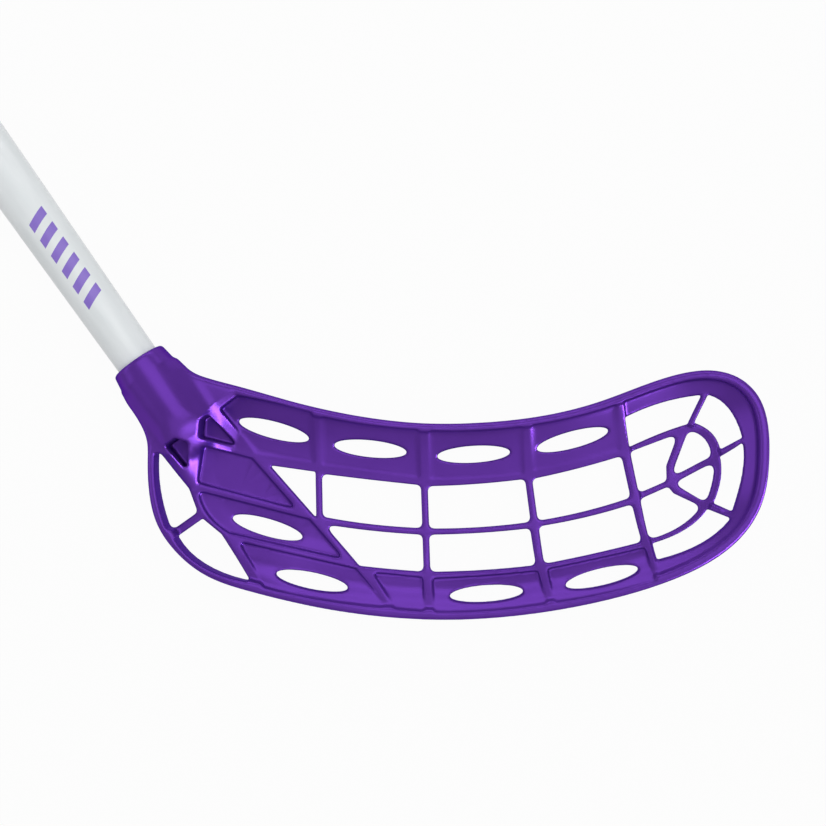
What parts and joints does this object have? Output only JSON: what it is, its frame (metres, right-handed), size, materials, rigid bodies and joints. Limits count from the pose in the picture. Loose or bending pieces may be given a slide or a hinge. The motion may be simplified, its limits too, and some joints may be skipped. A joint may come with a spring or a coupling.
{
  "type": "floorball stick",
  "caption": "Floorball stick: tapered tube shaft with a wound grip and an end cap, and a bent openwork plastic blade with a rim, ribs and oval holes, screwed on at its socket.",
  "frame": {"origin": "on the shaft's axis, at the upper end of the grip", "axes": "+X along the shaft from the butt to the blade, +Z out of the blade's hollow face; the stick lies flat on its grip and on the blade's back"},
  "size_m": [1.0633, 0.2552, 0.0331],
  "materials": {
    "blade_plastic": "purple moulded polyethylene, satin, fine moulded grain",
    "shaft_lacquer": "white lacquer on fibre composite, smooth, with plain slanted bands",
    "screw_steel": "zinc plated steel, turned",
    "grip_foam": "black cushioned grip tape, wound, matte and slightly grained",
    "band_tape": "purple finishing tape, satin",
    "cap_rubber": "black moulded rubber, matte"
  },
  "bodies": {
    "stick": {"shaft": "shaft_lacquer", "blade": "blade_plastic", "grip_tape": "grip_foam", "grip_band": "band_tape"},
    "screw": {"blade_screw": "screw_steel"},
    "cap": {"end_cap": "cap_rubber"}
  },
  "joints": [
    {"name": "screw_out", "type": "slide", "parent": "stick", "child": "screw", "axis": [0, -0.9063, -0.4226], "range_m": [0, 0.012]},
    {"name": "cap_out", "type": "slide", "parent": "stick", "child": "cap", "axis": [-1, 0, 0], "range_m": [0, 0.03]}
  ]
}
